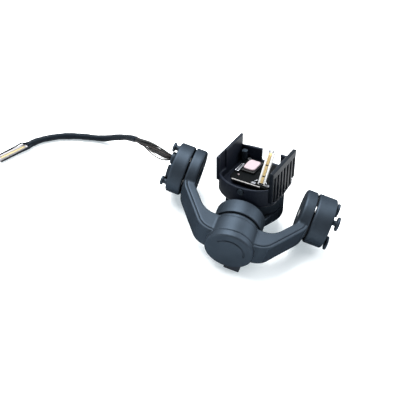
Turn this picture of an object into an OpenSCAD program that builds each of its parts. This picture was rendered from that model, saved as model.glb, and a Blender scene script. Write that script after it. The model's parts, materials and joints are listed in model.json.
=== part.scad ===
// Three-axis camera gimbal for a small drone, without its lens module.
// X runs along the tilt axis to the right, +Y points forward, +Z points up.
// The origin is on the tilt axis, midway between the two side drums.

/* [Side drums] */
// Radius of the side drums and of the arm ends
drum_r = 10.4; // [10:0.1:11]
// Distance from the middle to the inner face of each arm end
arm_in_x = 21.5; // [21.2:0.1:21.8]
// Thickness of each arm end
arm_end_t = 4.6; // [4.4:0.1:5]
// Thickness of the left drum, which holds the plain bearing
left_base_t = 6.1; // [5.9:0.1:6.6]
// Thickness of the right drum, which holds the tilt motor
right_base_t = 7.7; // [7.4:0.1:8.2]
// Gap between an arm end and its drum
drum_gap = 0.6; // [0.5:0.1:0.8]

/* [Damper studs] */
// Radius of the circle that the studs stand on
stud_circle_r = 8.2; // [7.8:0.1:8.4]
// Radius of a stud's stem
stud_r = 1.1; // [0.9:0.1:1.3]
// Height of a stud above the drum's face
stud_h = 2.6; // [2.4:0.1:3]
// Radius of the right studs' heads
stud_head_r = 2.9; // [2.4:0.1:3]

/* [Yoke] */
// Half the height of the yoke's arms
arm_half_h = 5.2; // [4.8:0.1:5.6]
// Thickness of the yoke's front cover
cover_t = 1.2; // [1:0.1:1.4]
// Radius of the hub at the middle of the yoke
hub_r = 9.6; // [9.4:0.1:9.9]
// Thickness of the hub's round cap
cap_t = 1.7; // [1.5:0.1:2]

/* [Roll motor] */
// Outer radius of the roll motor's bell
roll_bell_r = 9.9; // [9.6:0.1:10.1]
// Length of the roll motor's bell
roll_bell_l = 6.5; // [6.3:0.1:6.8]
// Turn of the roll arm about the hub at rest, in degrees
roll_rest = -15.5; // [-18:0.5:-12]

/* [Pan motor] */
// Outer radius of the pan motor's bell and of the bracket's cup
pan_bell_r = 12; // [11.8:0.1:12.1]
// Forward lean of the pan axis, in degrees
pan_lean = 11; // [9:0.5:13]
// Turn of the camera about the pan axis at rest, in degrees
pan_rest = -13; // [-15:0.5:-10]

/* [Camera housing] */
// Half the width of the housing
half_w = 12.4; // [12.2:0.1:12.6]
// Half the depth of the housing's side walls
half_d = 10.4; // [10.2:0.1:10.6]
// Height of the side walls' near top corner above the roll axis
wall_top = 18.4; // [18:0.1:18.8]
// Height of the left wall's far top corner above the roll axis
far_wall_top = 19.2; // [18.8:0.1:19.6]
// Height of the housing's near rim above the roll axis
rim_top = 10.7; // [10.4:0.1:11]
// Number of cooling slots
slots = 7; // [5:1:8]

/* [Hidden] */
$fn = 96;

shell_dark = [0.22, 0.26, 0.31];
shell_black = [0.08, 0.09, 0.11];
steel = [0.72, 0.73, 0.75];
magnet_grey = [0.45, 0.46, 0.48];
copper = [0.72, 0.42, 0.2];
iron = [0.35, 0.35, 0.37];
board_green = [0.07, 0.2, 0.16];
gold = [0.85, 0.68, 0.3];
amber = [0.6, 0.38, 0.15];
ceramic_white = [0.92, 0.9, 0.86];
pad_pink = [0.9, 0.82, 0.82];

wall = 1.2;
fit = 0.03;
shaft_r = 1.5;
bearing_r = 3;
boss_r = 3.6;
axle_r = 4;
axle_bearing_r = 6.4;
screw_sink = 0.7;
screw_hole_r = 0.9;
screw_head_h = 0.5;
screw_circle_r = 7.9;
edge = 0.5;
face_t = wall + 0.3;
magnet_count = 14;

arm_out_x = arm_in_x + arm_end_t;
base_in_x = arm_out_x + drum_gap;
left_face_x = base_in_x + left_base_t;
right_face_x = base_in_x + right_base_t;
left_stud_turn = 158;
right_stud_turn = 94;
left_head_r = 1.9;
left_boss_r = 7.4;
plate_r = 6.9;
plate_t = 1.5;
plate_cut = 0.2;
plate_turn = -50;
tilt_core_z = 0.4;
tilt_core_r = 6.7;
tilt_core_h = 3.1;

hub_back_y = -21;
seam_y = -28;
cap_y = -29.3;
board_y = -26.6;
hub_nose_r = 9.1;
tab_x = 0.3;
roll_core_z = 2.4;
roll_core_r = 7.4;
roll_core_h = 3;
roll_magnet_r = 8.9;
roll_front_y = -19;
roll_back_y = roll_front_y + roll_bell_l;

pan_x = 1.9;
pan_y = 2;
pan_bell_top = 2;
pan_bell_low = -3.4;
pan_boss_r = 4.2;
pan_core_z = -3;
pan_core_h = 2.8;
pan_core_r = 9.2;
pan_rim_t = 1.1;
shaft_top = 4.6;
cup_top = -3.9;
cup_low = -10.2;
cup_edge = 2.2;
cup_floor = 1.8;
cup_cap_t = 0.5;
deck_top = 9.5;
board_t = 0.9;
chip_t = 0.9;
bay_low = 7.2;
tub_low = 3.7;
near_arc_r = 18.3;
near_arc_f = 3.9;
far_arc_r = 60;
far_arc_f = -49;
corner_r = 15;
sink_t = 1.55;
slot_w = 1.3;
slot_h = 11.2;
slot_low = 4.4;
slot_depth = 0.9;
slot_span = 16.8;
near_screw_r = 1.2;
board_low = [-7.9, -8.4];
board_size = [17.3, 17];
strip_w = 3.2;

// Lets a shape be drawn with its own Z axis along +X
module along_x(x = 0) translate([x, 0, 0]) rotate([0, 90, 0]) children();

// Lets a shape be drawn with its own Z axis along +Y
module along_y(y = 0) translate([0, y, 0]) rotate([-90, 0, 0]) children();

// Repeats a shape n times around the Z axis
module around(n, start = 0) for (i = [0:n - 1]) rotate([0, 0, start + i * 360 / n]) children();

// Places a shape in the roll arm's frame
module in_roll() rotate([0, roll_rest, 0]) children();

// Places a shape on the pan axis, for pieces of the roll arm
module on_pan_axis() in_roll() translate([pan_x, pan_y, 0]) rotate([-pan_lean, 0, 0]) children();

// Places a shape in the camera's own frame
module in_camera() on_pan_axis() rotate([0, 0, pan_rest]) children();

// A round tube or ring of height h that starts at z
module ring(outer, inner, h, z = 0) translate([0, 0, z]) difference() {
    cylinder(r = outer, h = h);
    translate([0, 0, -1]) cylinder(r = inner, h = h + 2);
}

// A disc with a small chamfer round its top edge
module chamfered_disc(r, h, edge) {
    cylinder(r = r, h = h - edge);
    translate([0, 0, h - edge]) rotate_extrude() polygon([[0, 0], [r, 0], [r - edge, edge], [0, edge]]);
}

// Laminated iron core of a flat motor: a hub ring and nine teeth
module motor_core(inner, outer, h) {
    ring(inner + 0.8, inner, h);
    around(9) translate([inner + 0.6, -0.45, 0]) cube([outer - inner - 1.1, 0.9, h]);
    around(9) intersection() {
        ring(outer, outer - 0.6, h);
        translate([0, -1.5, -1]) cube([outer + 1, 3, h + 2]);
    }
}

// Nine wound coils that fit round the core's teeth
module motor_coils(inner, outer, h) around(9) difference() {
    translate([inner + 1, -0.85, -0.4]) cube([outer - inner - 1.8, 1.7, h + 0.8]);
    translate([inner, -0.48, -0.03]) cube([outer - inner, 0.96, h + 0.06]);
}

// Ring of magnets with thin gaps between them
module magnet_ring(outer, inner, h, n) difference() {
    ring(outer, inner, h);
    around(n) translate([inner - 1, -0.1, -1]) cube([outer - inner + 2, 0.2, h + 2]);
}

// Three mushroom studs, standing along +Z
module studs(head_r, turn) around(3, turn) translate([stud_circle_r, 0, 0]) {
    cylinder(r = stud_r, h = stud_h - 1);
    translate([0, 0, stud_h - 1.05]) chamfered_disc(head_r, 1.05, 0.3);
}

// Points along an arc, from angle a0 to angle a1
function arc(c, r, a0, a1, n = 8) = [for (i = [0:n]) c + r * [cos(a0 + (a1 - a0) * i / n),
    sin(a0 + (a1 - a0) * i / n)]];

// Plan of the right arm's outer side, moved inward by d
function arm_outer(d) = concat([[arm_out_x - d, -3]],
    arc([arm_out_x - 9, -7.5], 9 - d, 0, -36),
    arc([arm_out_x - 17.1, -20.3], 8 - d, -36, -90), [[0, -28.3 + d]]);

// Plan of the right arm's inner side, moved outward by d
function arm_inner(d) = concat([[arm_in_x + d, -3]],
    arc([arm_in_x - 4, -8], 4 + d, 0, -36),
    arc([arm_in_x - 11.6, -11.6], 8 + d, -36, -90), [[0, -19.6 - d]]);

// Area between two lines that run the same way
module strip(line_a, line_b) polygon(concat(line_a, [for (i = [len(line_b) - 1:-1:0]) line_b[i]]));

// Both arms, drawn from the right arm's plan
module both_arms(half_h) for (side = [0, 1]) mirror([side, 0, 0])
    translate([0, 0, -half_h]) linear_extrude(2 * half_h) children();

// ---- Side drums, which the aircraft holds ----

// Draws a shape outward from the left drum's open side, with its own Z axis along -X
module left_side() mirror([1, 0, 0]) along_x(base_in_x) children();

// Draws a shape outward from the right drum's open side, with its own Z axis along +X
module right_side() along_x(base_in_x) children();

// Places of a drum's three screws, midway between its studs
module base_screw_places(stud_turn) around(3, stud_turn + 60) translate([screw_circle_r, 0, 0]) children();

// A cup-shaped drum with its open side at z = 0
module drum(t, boss_out, boss_in, boss_h) {
    ring(drum_r, drum_r - wall, t - face_t);
    translate([0, 0, t - face_t]) cylinder(r = drum_r, h = face_t - edge);
    translate([0, 0, t - edge]) rotate_extrude()
        polygon([[0, 0], [drum_r, 0], [drum_r - edge, edge], [0, edge]]);
    ring(boss_out, boss_in, boss_h, t - face_t - boss_h);
}

module left_base() color(shell_dark) left_side() difference() {
    drum(left_base_t, left_boss_r, axle_bearing_r, left_base_t - face_t - 1);
    base_screw_places(left_stud_turn) translate([0, 0, left_base_t - screw_sink])
        cylinder(r = screw_hole_r, h = 1);
}

module right_base() color(shell_dark) right_side() difference() {
    drum(right_base_t, boss_r, bearing_r, right_base_t - face_t - 0.5);
    base_screw_places(right_stud_turn) translate([0, 0, right_base_t - screw_sink])
        cylinder(r = screw_hole_r, h = 1);
}

module left_studs() color(shell_dark)
    left_side() translate([0, 0, left_base_t]) studs(left_head_r, left_stud_turn);

module right_studs() color(shell_dark)
    right_side() translate([0, 0, right_base_t]) studs(stud_head_r, right_stud_turn);

module base_screws() color(steel) {
    left_side() base_screw_places(left_stud_turn) translate([0, 0, left_base_t - screw_sink])
        screw_head(screw_hole_r - 0.05, screw_head_h);
    right_side() base_screw_places(right_stud_turn) translate([0, 0, right_base_t - screw_sink])
        screw_head(screw_hole_r - 0.05, screw_head_h);
}

// A small cross-slotted screw head, standing along +Z
module screw_head(r, h) difference() {
    cylinder(r = r, h = h);
    for (a = [0, 90]) rotate([0, 0, a]) translate([-r * 0.7, -r * 0.14, h - 0.2])
        cube([r * 1.4, r * 0.28, 0.3]);
}

// Raised half-moon plate on the left drum's face
module left_face_plate() color(shell_dark) translate([-left_face_x - plate_t, 0, 0])
    rotate([0, 90, 0]) intersection() {
        cylinder(r = plate_r, h = plate_t);
        rotate([0, 0, plate_turn]) translate([plate_cut, -7, -1]) cube([7, 14, 3]);
    }

collar_y = 1;
collar_z = 3.6;

// Cable guide: a ring on two posts that stands off the left drum
module cable_collar() color(shell_dark) translate([-left_face_x, collar_y, collar_z]) rotate([0, -90, 0]) {
    ring(2.5, 1.2, 1.6, 0.4);
    for (side = [-1, 1]) translate([side * 1.8, 0, 0]) cylinder(r = 0.6, h = 0.4);
}

module axle_bearing() color(steel) left_side() ring(axle_bearing_r, axle_r + fit, 2, 0.9);

module tilt_bearings() color(steel) right_side() for (z = [0.6, 2.5]) ring(bearing_r, shaft_r + fit, 1.6, z);

module tilt_stator() color(iron) right_side() translate([0, 0, tilt_core_z])
    motor_core(boss_r, tilt_core_r, tilt_core_h);

module tilt_coils() color(copper) right_side() translate([0, 0, tilt_core_z])
    motor_coils(boss_r, tilt_core_r, tilt_core_h);

// Ring-shaped sensor board against the left drum's plate
module tilt_sensor_board() color(board_green) left_side()
    ring(8.8, left_boss_r + 0.1, 0.6, left_base_t - face_t - 0.6);

// ---- Cable ----

tape_r = 1.15;
bundle_r = 1.5;
bundle_route = [[-34.8, 1, 3.6], [-37, 1, 3.6], [-40, 2, 3.2], [-43, 3.4, 2.4], [-46, 5, 1.2],
    [-49, 6.6, -0.2]];
tape_route = [[-49, 6.6, -0.2], [-52, 8.2, -1.6], [-55, 9.6, -3.4], [-58, 10.6, -5.3], [-61, 11.1, -7.2],
    [-64, 11.1, -9], [-67, 10.6, -10.4], [-70, 9.9, -11.1], [-73, 9, -11.3], [-76, 7.9, -11.3],
    [-79, 6.6, -11.3], [-82, 5, -11.3], [-85, 3.1, -11.3], [-88, 0.6, -11.3], [-90.6, -2, -11.3],
    [-92.7, -5, -11.3], [-94.4, -8.2, -11.3]];

// Sweeps an eight-sided tube of radius r along a list of points
module tube(route, r) {
    n = len(route);
    sides = 8;
    dir = [for (i = [0:n - 1]) let (v = route[min(i + 1, n - 1)] - route[max(i - 1, 0)]) v / norm(v)];
    points = [for (i = [0:n - 1]) let (u = cross(dir[i], [0, 0, 1]) / norm(cross(dir[i], [0, 0, 1])),
        v = cross(u, dir[i])) for (k = [0:sides - 1])
        route[i] + r * (cos(k * 360 / sides) * u + sin(k * 360 / sides) * v)];
    walls = [for (i = [0:n - 2]) for (k = [0:sides - 1])
        [i * sides + k, i * sides + (k + 1) % sides, (i + 1) * sides + (k + 1) % sides, (i + 1) * sides + k]];
    polyhedron(points = points, faces = concat([[for (k = [sides - 1:-1:0]) k]], walls,
        [[for (k = [0:sides - 1]) (n - 1) * sides + k]]));
}

module wire_bundle() color(shell_black) tube(bundle_route, bundle_r);

module cable_tape() color(shell_black) tube(tape_route, tape_r);

plug_turn = 62;

// Places a shape at the cable's end, with +X running on along the plug
module at_plug() translate([-94.4, -8.2, -11.3]) rotate([0, 0, 180 + plug_turn]) children();

module plug_shell() color(ceramic_white) at_plug() difference() {
    translate([0.02, -1.5, -1.2]) cube([13, 3, 2]);
    translate([0.85, -0.9, 0.2]) cube([11.4, 1.8, 1]);
}

module plug_contacts() color(gold) at_plug() translate([0.95, -0.8, 0.2]) {
    cube([11.2, 1.6, 0.3]);
    for (i = [0:17]) translate([0.3 + i * 0.61, 0.1, 0.3]) cube([0.3, 1.4, 0.2]);
}

// ---- Yoke, which turns about the tilt axis ----

// The two cups at the arms' ends, with their open sides outward
module arm_ends() for (side = [0, 1]) mirror([side, 0, 0]) along_x(arm_in_x)
    cylinder(r = drum_r, h = arm_end_t);

module yoke_frame() color(shell_dark) {
    along_y(board_y + board_t) hub_screw_places() cylinder(r = 1.1, h = hub_back_y - 0.3 - board_y - board_t);
    difference() {
        union() {
            arm_ends();
            both_arms(arm_half_h) strip(arm_inner(0), arm_outer(cover_t));
            along_y(seam_y) cylinder(r = hub_r, h = hub_back_y - seam_y);
            along_y(hub_back_y) cylinder(r = hub_nose_r, h = roll_front_y - 0.3 - hub_back_y);
            along_y(hub_back_y) cylinder(r = boss_r, h = 6.2);
        }
        for (side = [0, 1]) mirror([side, 0, 0]) along_x(arm_in_x + wall)
            cylinder(r = drum_r - wall, h = arm_end_t);
        difference() {
            both_arms(arm_half_h - 1) strip(arm_inner(1), arm_outer(cover_t - 0.2));
            along_y(hub_back_y - wall) cylinder(r = hub_r, h = 4);
        }
        along_y(seam_y - 1) cylinder(r = hub_r - wall, h = hub_back_y - seam_y - wall + 1);
        along_y(hub_back_y - 2) cylinder(r = bearing_r, h = 10);
        along_x(arm_in_x - 1) cylinder(r = shaft_r, h = 3);
        mirror([1, 0, 0]) along_x(arm_in_x - 1) cylinder(r = axle_r, h = 3);
    }
}

module yoke_cover() color(shell_dark) difference() {
    union() {
        both_arms(arm_half_h) strip(arm_outer(cover_t), arm_outer(0));
        along_y(cap_y) cylinder(r = hub_r, h = seam_y - cap_y);
    }
    along_y(seam_y) cylinder(r = hub_r, h = 5);
    along_y(cap_y - 1) cylinder(r = hub_r - wall, h = 8);
    for (side = [0, 1]) mirror([side, 0, 0]) along_x(arm_in_x - 1) cylinder(r = drum_r, h = arm_end_t + 2);
}

module hub_cap() color(shell_dark) along_y(cap_y) mirror([0, 0, 1]) difference() {
    chamfered_disc(hub_r, cap_t, 0.6);
    intersection() {
        ring(6.3, 5.9, 1, cap_t - 0.2);
        translate([-9, -10.5, 0]) cube([18, 9, 4]);
    }
}

module hub_tab() color(shell_black) difference() {
    translate([tab_x, cap_y - 0.9, -hub_r - 2.1]) cube([6.4, 2.6, 5]);
    along_y(cap_y - 3) cylinder(r = hub_r, h = 8);
}

module hollow_axle() color(steel) mirror([1, 0, 0]) along_x(arm_in_x + wall) {
    ring(axle_r, axle_r - 1, 7.3);
    ring(axle_r + 1.2, axle_r - 1, 0.8);
}

module tilt_rotor() color(iron) along_x(arm_out_x - 1.9) {
    ring(8.6, shaft_r, 0.8);
    ring(8.6, 7.8, 6.3);
}

module tilt_magnets() color(magnet_grey) along_x(base_in_x + 0.3) magnet_ring(7.8, 7.1, 3.4, magnet_count);

module tilt_shaft() color(steel) along_x(arm_in_x)
    cylinder(r = shaft_r, h = right_face_x - wall - 0.6 - arm_in_x);

// Flat ribbon cable that runs inside the left arm, from the drum to the hub
module yoke_flex() color(amber) mirror([1, 0, 0]) translate([0, 0, -2.6]) linear_extrude(5.2) difference() {
    strip(arm_inner(2.8), arm_inner(3.05));
    translate([-1, -30]) square([9.4, 12]);
    translate([18, -7.4]) square([10, 8]);
}

// Places of the three screws that hold the driver board
module hub_screw_places() around(3, 80) translate([6.6, 0, 0]) children();

// Round motor driver board inside the hub
module motor_board() color(board_green) along_y(board_y) {
    ring(8.2, 1.4, board_t);
    for (a = [20, 140, 260]) rotate([0, 0, a]) translate([3, -1.2, -0.9]) cube([2.6, 2.4, 0.9]);
}

module hub_screws() color(steel) along_y(board_y) mirror([0, 0, 1]) hub_screw_places()
    screw_head(screw_hole_r, screw_head_h);

module roll_bearings() color(steel) for (y = [hub_back_y + 0.4, hub_back_y + 4.2])
    along_y(y) ring(bearing_r, shaft_r + fit, 1.8);

module roll_stator() color(iron) along_y(hub_back_y + roll_core_z)
    motor_core(boss_r, roll_core_r, roll_core_h);

module roll_coils() color(copper) along_y(hub_back_y + roll_core_z)
    motor_coils(boss_r, roll_core_r, roll_core_h);

// ---- Roll arm, which turns about the hub's axis ----

module roll_bell() color(shell_dark) difference() {
    along_y(roll_front_y) union() {
        ring(roll_bell_r, roll_magnet_r, roll_bell_l - edge);
        translate([0, 0, roll_bell_l - wall]) cylinder(r = roll_bell_r, h = wall - edge);
        translate([0, 0, roll_bell_l - edge]) rotate_extrude()
            polygon([[0, 0], [roll_bell_r, 0], [roll_bell_r - edge, edge], [0, edge]]);
    }
    along_y(roll_back_y - 3) cylinder(r = shaft_r, h = 5);
}

module roll_magnets() color(magnet_grey) along_y(roll_front_y + 0.4)
    magnet_ring(roll_magnet_r, 8.1, 4.2, magnet_count);

module roll_shaft() color(steel) along_y(hub_back_y - 0.6)
    cylinder(r = shaft_r, h = roll_back_y - hub_back_y + 0.6);

// Arm from the lower part of the roll motor's bell to the side of the cup
module bracket_arm() hull() {
    along_y(roll_back_y) intersection() {
        cylinder(r = roll_bell_r - 0.6, h = 1.2, $fn = 40);
        translate([-12, 0.6, -1]) cube([24, 12, 4]);
    }
    translate([pan_x, pan_y, 0]) rotate([-pan_lean, 0, 0]) intersection() {
        translate([0, 0, cup_low + 1]) cylinder(r = pan_bell_r - 1, h = cup_top - cup_low - 2, $fn = 40);
        translate([-15, -15, -12]) cube([30, 11, 12]);
    }
}

// Cup under the camera, on an arm from the roll motor's bell
module roll_bracket() color(shell_dark) {
    on_pan_axis()
        ring(pan_boss_r, bearing_r, pan_core_z + pan_core_h - cup_low - cup_floor, cup_low + cup_floor);
    difference() {
        union() {
            in_roll() bracket_arm();
            on_pan_axis() {
                translate([0, 0, cup_low + cup_edge])
                    cylinder(r = pan_bell_r, h = cup_top - cup_low - cup_edge);
                translate([0, 0, cup_low]) rotate_extrude()
                    polygon([[0, 0], [pan_bell_r - cup_edge, 0], [pan_bell_r, cup_edge], [0, cup_edge]]);
            }
        }
        on_pan_axis() {
            translate([0, 0, cup_low + cup_floor]) cylinder(r = pan_bell_r - wall, h = 10);
            translate([0, 0, cup_low + 1.2]) cylinder(r = bearing_r, h = 10);
            translate([0, 0, cup_low - 1]) cylinder(r = 8, h = 1 + cup_cap_t);
            translate([0, 0, cup_top]) cylinder(r = pan_bell_r + 0.6, h = 10);
        }
    }
}

module pan_stator() color(iron) on_pan_axis() translate([0, 0, pan_core_z])
    motor_core(pan_boss_r, pan_core_r, pan_core_h);

module pan_coils() color(copper) on_pan_axis() translate([0, 0, pan_core_z])
    motor_coils(pan_boss_r, pan_core_r, pan_core_h);

module pan_bearings() color(steel) on_pan_axis() for (z = [cup_low + 1.4, -2])
    ring(bearing_r, shaft_r + fit, 1.8, z);

module pan_sensor_board() color(board_green) on_pan_axis()
    ring(10.2, pan_boss_r + 0.1, 0.8, cup_low + cup_floor);

module bracket_cap() color(shell_black) on_pan_axis() translate([0, 0, cup_low])
    cylinder(r = 7.9, h = cup_cap_t);

// ---- Camera, which turns about the pan axis ----

// Outline of the housing in plan, from height z up by h, drawn in by d
module housing_block(d, z, h) translate([0, 0, z]) intersection() {
    translate([-half_w + d, -20, 0]) cube([2 * (half_w - d), 40, h]);
    translate([0, near_arc_f, 0]) cylinder(r = near_arc_r - d, h = h);
    translate([0, far_arc_f, 0]) cylinder(r = far_arc_r - d, h = h);
    cylinder(r = corner_r - d, h = h);
}

// Places a shape at the near wall's screw, with +Z outward
module at_near_screw() translate([0.8, near_arc_f - near_arc_r + 0.6, 8.9]) rotate([90, 0, 0]) children();

// Plate with the heat sink's outline, from x0 outward by t
module sink_plate(x0, t) translate([x0, 0, 0]) rotate([90, 0, 90]) linear_extrude(t)
    polygon([[-half_d, 4.8], [-1.4, 2.2], [2.4, 3], [half_d, 6], [half_d, wall_top], [-half_d, wall_top]]);

// Tall wall on the housing's left, whose top climbs toward the far end
module left_wall() translate([-half_w, 0, 0]) rotate([90, 0, 90]) linear_extrude(wall)
    polygon([[-half_d, rim_top - 1], [half_d - 0.4, rim_top - 1], [half_d - 0.4, far_wall_top],
        [-half_d, wall_top]]);

module camera_shell() color(shell_black) in_camera() {
    board_screw_places() translate([0, 0, bay_low]) cylinder(r = 1.3, h = deck_top - board_t - bay_low);
    difference() {
        union() {
            housing_block(0, tub_low, rim_top - tub_low);
            hull() {
                housing_block(0.01, tub_low - 0.1, 0.2, $fn = 40);
                translate([0, 0, pan_bell_top]) cylinder(r = pan_bell_r, h = 0.1, $fn = 64);
            }
            left_wall();
            intersection() {
                housing_block(0, rim_top - 1, 4.7);
                translate([-half_w, 8, 0]) cube([2 * half_w - 1.6, 10, 30]);
            }
        }
        housing_block(wall, bay_low, 20);
        sink_plate(half_w - 1.6, 4);
        translate([-2.4, 7, deck_top - 0.6]) cube([8.4, 10, 20]);
        cylinder(r = shaft_r, h = shaft_top);
        ring(9, 4.6, bay_low - 1.4);
        at_near_screw() cylinder(r = near_screw_r + 0.05, h = 2);
    }
}

module heat_sink() color(shell_black) in_camera() difference() {
    sink_plate(half_w - sink_t, sink_t);
    for (i = [0:slots - 1])
        translate([half_w - slot_depth, (i / (slots - 1) - 0.5) * slot_span - slot_w / 2, slot_low])
            cube([2, slot_w, slot_h]);
}

module pan_bell() color(shell_black) in_camera() {
    ring(pan_bell_r, pan_bell_r - pan_rim_t, pan_bell_top - pan_bell_low, pan_bell_low);
    ring(pan_bell_r - 0.5, shaft_r, 1.2, pan_bell_top - 1.2);
}

module pan_magnets() color(magnet_grey) in_camera() translate([0, 0, pan_bell_low + 0.2])
    magnet_ring(pan_bell_r - pan_rim_t, 9.7, 3.6, magnet_count);

module pan_shaft() color(steel) in_camera() translate([0, 0, cup_low + 1.5])
    cylinder(r = shaft_r, h = shaft_top - cup_low - 1.5);

// Places of the two screws that hold the camera board
module board_screw_places() for (p = [[-6.6, 7.2], [8.6, -7]]) translate([p[0], p[1], 0]) children();

module camera_board() color(board_green) in_camera() difference() {
    translate(concat(board_low, deck_top - board_t)) cube(concat(board_size, board_t));
    translate(concat(board_low, deck_top)) rotate([0, 0, 45]) cube([2.4, 2.4, 4], center = true);
}

module board_screws() color(steel) in_camera() board_screw_places() translate([0, 0, deck_top])
    screw_head(screw_hole_r - 0.1, screw_head_h);

module image_chip() color(shell_black) in_camera() translate([-5.4, -2.2, deck_top]) cube([5.6, 8.8, chip_t]);

module thermal_pad() color(pad_pink) in_camera() translate([-5.3, -1.4, deck_top + chip_t])
    cube([5.2, 6.8, 0.9]);

module board_socket() color(steel) in_camera() translate([-7.6, -3.6, deck_top]) difference() {
    cube([1.6, 5.8, 0.9]);
    translate([0.5, 0.4, 0.4]) cube([0.6, 5, 1]);
}

module shield_rail() color(ceramic_white) in_camera() translate([-6.2, -8.8, deck_top - board_t])
    cube([12.4, 0.4, 1.1]);

module status_led() color(ceramic_white) in_camera() translate([-5.4, -5.2, deck_top]) cube([0.6, 0.4, 0.4]);

flex_lean = 36;

// Places a shape on the upright contact strip, with +Z running up the strip
module at_flex() in_camera() translate([4.3, -7.2, deck_top]) rotate([-flex_lean, 0, 0]) children();

module lens_flex() color(ceramic_white) difference() {
    at_flex() translate([0, 0, -0.6]) cube([strip_w, 0.8, 14.2]);
    in_camera() translate([0, -10, deck_top - 3]) cube([12, 12, 3.02]);
}

module flex_contacts() color(gold) at_flex() translate([1, -0.25, 0.9]) cube([1.1, 0.25, 12.2]);

module flex_clip() color(steel) in_camera() {
    translate([2.2, -8.3, deck_top]) cube([1.7, 1, 0.7]);
    translate([8.3, -3.4, deck_top]) cube([0.9, 0.9, 0.8]);
}

// Long screw post in the far left corner, and the screw in the near wall
module shell_screws() color(shell_black) in_camera() {
    at_near_screw() screw_head(near_screw_r, 0.9);
    translate([-9.2, 7.8, bay_low]) cylinder(r = near_screw_r, h = 5.7);
}

left_base();
right_base();
left_studs();
right_studs();
base_screws();
left_face_plate();
cable_collar();
axle_bearing();
tilt_bearings();
tilt_stator();
tilt_coils();
tilt_sensor_board();
wire_bundle();
cable_tape();
plug_shell();
plug_contacts();
yoke_frame();
yoke_cover();
hub_cap();
hub_tab();
hollow_axle();
tilt_rotor();
tilt_magnets();
tilt_shaft();
yoke_flex();
motor_board();
hub_screws();
roll_bearings();
roll_stator();
roll_coils();
roll_bell();
roll_magnets();
roll_shaft();
roll_bracket();
pan_stator();
pan_coils();
pan_bearings();
pan_sensor_board();
bracket_cap();
camera_shell();
heat_sink();
pan_bell();
pan_magnets();
pan_shaft();
camera_board();
board_screws();
image_chip();
thermal_pad();
board_socket();
shield_rail();
status_led();
lens_flex();
flex_contacts();
flex_clip();
shell_screws();
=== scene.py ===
import json
import math

import bmesh
import bpy
import numpy as np
from mathutils import Matrix, Vector


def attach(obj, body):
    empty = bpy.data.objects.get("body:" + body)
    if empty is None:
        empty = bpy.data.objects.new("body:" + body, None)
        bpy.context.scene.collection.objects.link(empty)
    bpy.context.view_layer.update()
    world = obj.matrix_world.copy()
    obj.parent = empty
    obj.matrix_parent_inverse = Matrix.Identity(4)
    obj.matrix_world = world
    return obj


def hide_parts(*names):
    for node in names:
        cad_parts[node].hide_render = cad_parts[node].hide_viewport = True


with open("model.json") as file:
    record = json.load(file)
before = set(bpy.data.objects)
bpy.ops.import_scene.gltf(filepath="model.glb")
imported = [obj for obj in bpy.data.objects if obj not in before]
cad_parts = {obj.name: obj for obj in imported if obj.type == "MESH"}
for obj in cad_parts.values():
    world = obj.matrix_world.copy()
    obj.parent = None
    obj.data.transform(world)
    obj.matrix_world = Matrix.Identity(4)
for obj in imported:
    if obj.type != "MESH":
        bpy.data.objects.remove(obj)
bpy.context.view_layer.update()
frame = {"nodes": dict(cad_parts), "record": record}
nodes = frame["nodes"]
scene = bpy.context.scene
MM = 0.001

# Sizes in millimetres and angles in degrees that several pieces share
drum_r = 10.4
drum_start = 26.7
left_drum_t, right_drum_t = 6.1, 7.7
left_stud_turn, right_stud_turn = 158, 94
drum_wall = 1.5
stud_circle_r = 8.2
screw_circle_r = 7.9
arm_half_h = 5.2
arm_end_in, arm_end_out = 21.5, 26.1
hub_r, hub_bore_r = 9.6, 8.4
hub_front_y = -29.3
axis_bore_r = 1.5
half_w = 12.4
deck_top = 9.5
collar_at = (1, 3.6)
cable_lies_at = -11.3
floor_z = -0.0127

# ---------------------------------------------------------------- camera

cam_data = bpy.data.cameras.new("camera")
cam_data.sensor_width = 36
cam_data.lens = 55.2
cam_data.clip_start = 0.01
cam = bpy.data.objects.new("camera", cam_data)
scene.collection.objects.link(cam)
scene.camera = cam
view_right = Vector((0.9353, 0.2965, 0.1931))
view_back = Vector((0.0418, -0.6344, 0.7719)).normalized()
view_up = view_back.cross(view_right).normalized()
view_right = view_up.cross(view_back)
turn = Matrix((view_right, view_up, view_back)).transposed()
cam.matrix_world = Matrix.Translation(Vector((-1.729, -175.725, 195.613)) * MM) @ turn.to_4x4()

# ---------------------------------------------------------------- frames of the moving parts


def turned(axis, degrees):
    """Rotation about a main axis."""
    return Matrix.Rotation(math.radians(degrees), 4, axis)


in_roll = turned("Y", -15.5)
on_pan = in_roll @ Matrix.Translation((1.9, 2, 0)) @ turned("X", -11)
in_camera = on_pan @ turned("Z", -13)
along_y = turned("X", -90)
right_side = Matrix.Translation((drum_start, 0, 0)) @ turned("Y", 90)
left_side = Matrix.Scale(-1, 4, (1, 0, 0)) @ right_side

# ---------------------------------------------------------------- materials


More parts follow.
